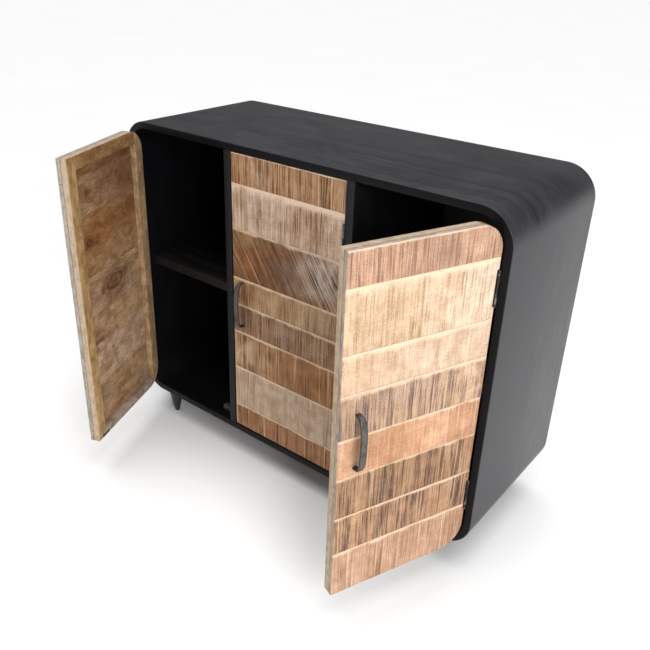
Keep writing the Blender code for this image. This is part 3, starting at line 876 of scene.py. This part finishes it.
def build_handle(door):
    """The bow's section, a rounded strap, is carried along the line between its outer and inner edges.

    At turn t the outer edge lies rise * sin(t)**BOW_POWER off the door and half * cos(t)**BOW_POWER along it.
    The strap narrows towards its two ends.
    """
    low, high = door_box(door, "handle")
    half, rise, width = (high[2] - low[2]) / 2, high[1] - low[1], high[0] - low[0]
    turn = np.radians(90 * (1 - np.cos(np.linspace(0, np.pi, 90))))

    def edge(reach, height):
        share = np.sign(np.cos(turn)) * np.abs(np.cos(turn)) ** BOW_POWER
        return np.stack([height * np.clip(np.sin(turn), 0, 1) ** BOW_POWER, share * reach], -1)
    outer, inner = edge(half, rise), edge(half - HANDLE_T, rise - HANDLE_T)
    around = 2 * np.pi * (np.arange(STRAP_POINTS) + 0.5) / STRAP_POINTS
    wide = np.sign(np.cos(around)) * np.abs(np.cos(around)) ** 0.5
    thick = np.sign(np.sin(around)) * np.abs(np.sin(around)) ** 0.6
    gap_to_end = half - np.abs(outer[:, 1])
    taper = 1 - LEG_TAPER * np.exp(-(gap_to_end / LEG_TAPER_REACH) ** 2)
    line, spread = (outer + inner) / 2, (outer - inner) / 2
    section = line[:, None, :] + spread[:, None, :] * thick[None, :, None]
    u = (low[0] + high[0]) / 2 + taper[:, None] * wide[None, :] * width / 2
    points = np.stack([u, high[1] - section[..., 0], (low[2] + high[2]) / 2 + section[..., 1]], -1)
    points = points.reshape(-1, 3)
    faces = grid_faces(len(turn), len(around), close_columns=True)
    last = (len(turn) - 1) * STRAP_POINTS
    faces = np.vstack([faces, strip_cap(0, STRAP_POINTS)[:, ::-1], strip_cap(last, STRAP_POINTS)])
    # face peaks along the middle of the outer face and places the lighter band there: part rubbed wear, part
    # painted highlight.
    face = np.tile(np.clip(thick, 0, 1) * np.sqrt(1 - np.clip(np.abs(wide), 0, 1) ** 2), len(turn))
    handle = new_piece(f"{door}_bow_handle", door_points(door, points), faces, [FORGED_IRON], face=face)
    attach(handle, door)
    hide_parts(f"{door}_handle")


FORGED_IRON = forged_iron()
for door_name in DOORS:
    build_handle(door_name)


# ---- Hinges --------------------------------------------------------------------------------------
# Steel butt hinges, blackened and rubbed grey in scattered patches; three countersunk screws in each leaf.

SCREW_R = 0.0032
SCREW_PITCH = 0.026
SCREW_INSET = 0.011
SCREW_SUNK = 0.0003
SCREW_BEVEL = 0.0004
SCREW_PROUD = 0.00008
SCREW_CROWN = 0.00009
SCREW_STAGGER = 0.004
CASE_LEAF = 0.0018
DOOR_LEAF = 0.0014


def hinge_steel():
    """Blackened steel, rubbed to bare grey in scattered patches."""
    material, tree, shader = paint("hinge_steel", Metallic=0.8)
    place = own_place(tree)
    cloud = noise(tree, place, 90.0, detail=4.0)
    scratch = noise(tree, place, (900, 900, 40), detail=2.0)
    worn = remap(tree, weighed(tree, (cloud, 1.0), (scratch, 0.4)), 0.66, 0.84)
    colour = mixed(tree, worn, (0.032, 0.030, 0.029), (0.19, 0.18, 0.165))
    surface(tree, shader, colour, remap(tree, scratch, 0.3, 0.7, 0.34, 0.5), scratch, 0.0001)
    return material


def build_hinges():
    """The hinge leaves keep their solids; each body's screw heads are one piece, proud of its leaves."""
    heads = {body: [] for body in ("case", *DOORS)}
    profile = [(SCREW_R, -SCREW_SUNK), (SCREW_R, 0), (SCREW_R - SCREW_BEVEL, SCREW_PROUD),
               (SCREW_R * 0.4, SCREW_CROWN)]
    for door in DOORS:
        spot, side, turned = door_turn(door)
        for level in ("upper", "lower"):
            low, high = door_box(door, f"{level}_hinge_door_leaf")
            middle = (low[2] + high[2]) / 2
            for step in (-1, 0, 1):
                away = high[1] - SCREW_INSET + SCREW_STAGGER * (step == 0)
                height = middle + SCREW_PITCH * step
                seat = spot + np.array([-side * CASE_LEAF, away, height - spot[2]])
                heads["case"].append(lathe(profile, seat, (side, 0, 0), steps=20))
                seat = door_points(door, [(-DOOR_LEAF, away, height)])[0]
                heads[door].append(lathe(profile, seat, turned @ (-side, 0, 0), steps=20))
            for leaf in ("case_leaf", "door_leaf"):
                node = frame["nodes"][f"{door}_{level}_hinge_{leaf}"]
                for own_slot in node.material_slots:
                    own_slot.material = HINGE_STEEL
    for body, parts in heads.items():
        screws = new_piece(f"{body}_hinge_screws", *together(parts), [HINGE_STEEL])
        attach(screws, body)


HINGE_STEEL = hinge_steel()
build_hinges()


# ---- Catches -------------------------------------------------------------------------------------
# A magnetic catch in a moulded block on the floor of each bay, and a steel strike plate let into the back of
# each door's foot rail.

STRIKE_W = 0.032
STRIKE_T = 0.0006
STRIKE_ARRIS = 0.0001
STRIKE_PROUD = 0.00012
STRIKE_LIFT = 0.0035
STRIKE_DROP = 0.0005


def catch_shell():
    """Smoke-grey moulded plastic, slightly dusty."""
    material, tree, shader = paint("catch_shell", Specular_IOR_Level=0.45)
    place = own_place(tree)
    dust = noise(tree, place, 140.0, detail=4.0)
    colour = mixed(tree, dust, (0.030, 0.032, 0.038), (0.075, 0.078, 0.088))
    surface(tree, shader, colour, remap(tree, dust, 0.3, 0.7, 0.36, 0.52), dust, 0.00006)
    return material


def build_catches():
    """Each catch is a board-like block; each strike is a thin plate on the rail, facing the catch."""
    for door in DOORS:
        board(f"{door}_magnetic_catch", f"{door}_catch", 1, CATCH_SHELL)
        low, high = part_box(f"{door}_catch")
        spot, side, _ = door_turn(door)
        _, back = door_box(door, "frame")
        middle = side * ((low.x + high.x) / 2 - spot[0])
        region = plain_region(middle - STRIKE_W / 2, middle + STRIKE_W / 2, low.z + STRIKE_LIFT,
                              high.z - STRIKE_DROP, 0.004)
        points, faces, _ = slab(region, STRIKE_T, STRIKE_ARRIS)
        points[:, 1] += back[1] - STRIKE_T + STRIKE_PROUD
        strike = new_piece(f"{door}_strike_plate", door_points(door, points), faces, [HINGE_STEEL])
        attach(strike, door)


CATCH_SHELL = catch_shell()
build_catches()


# ---- Camera, lights and floor --------------------------------------------------------------------
# A pale studio: a near-white floor, a large soft light from the right, a weaker one from the front and a wide
# soft one overhead.

CAMERA_AT = (1.0434, -1.2578, 1.2960)
CAMERA_TURN = (1.1137, -0.0263, 0.6819)
LENS_MM = 41.03
LENS_SHIFT = (0.0197, -0.0287)


def build_stage():
    """The camera, three soft lights, a white room and the floor."""
    lens = bpy.data.cameras.new("camera")
    lens.lens = LENS_MM
    lens.shift_x, lens.shift_y = LENS_SHIFT
    camera = bpy.data.objects.new("camera", lens)
    camera.location = CAMERA_AT
    camera.rotation_euler = CAMERA_TURN
    bpy.context.scene.collection.objects.link(camera)
    bpy.context.scene.camera = camera
    for name, place, target, size, power in (
            ("key", (3.2, -1.9, 1.9), (0.3, -0.1, 0.45), 1.8, 105),
            ("fill", (-1.0, -3.2, 1.8), (0, 0, 0.45), 2.2, 8)):
        lamp = bpy.data.lights.new(name, "AREA")
        lamp.shape = "SQUARE"
        lamp.size = size
        lamp.energy = power
        light = bpy.data.objects.new(name, lamp)
        light.location = place
        light.rotation_euler = (Vector(target) - Vector(place)).to_track_quat("-Z", "Y").to_euler()
        bpy.context.scene.collection.objects.link(light)
    overhead = bpy.data.lights.new("overhead", "SUN")
    overhead.energy = 2.7
    overhead.angle = math.radians(60)
    bpy.context.scene.collection.objects.link(bpy.data.objects.new("overhead", overhead))
    world = bpy.data.worlds.new("room")
    world.use_nodes = True
    sky = world.node_tree.nodes["Background"]
    sky.inputs["Color"].default_value = (1.0, 1.0, 1.0, 1.0)
    sky.inputs["Strength"].default_value = 0.25
    bpy.context.scene.world = world
    bpy.context.scene.view_settings.view_transform = "Standard"
    material, tree, shader = paint("studio_floor", Roughness=0.9, Specular_IOR_Level=0.1)
    place = own_place(tree)
    tone = noise(tree, place, 1.5)
    tree.links.new(mixed(tree, tone, (0.86, 0.86, 0.86), (0.9, 0.9, 0.9)), shader.inputs["Base Color"])
    bpy.ops.mesh.primitive_plane_add(size=60.0)
    floor = bpy.context.object
    floor.name = "studio_floor"
    floor.data.materials.append(material)


build_stage()
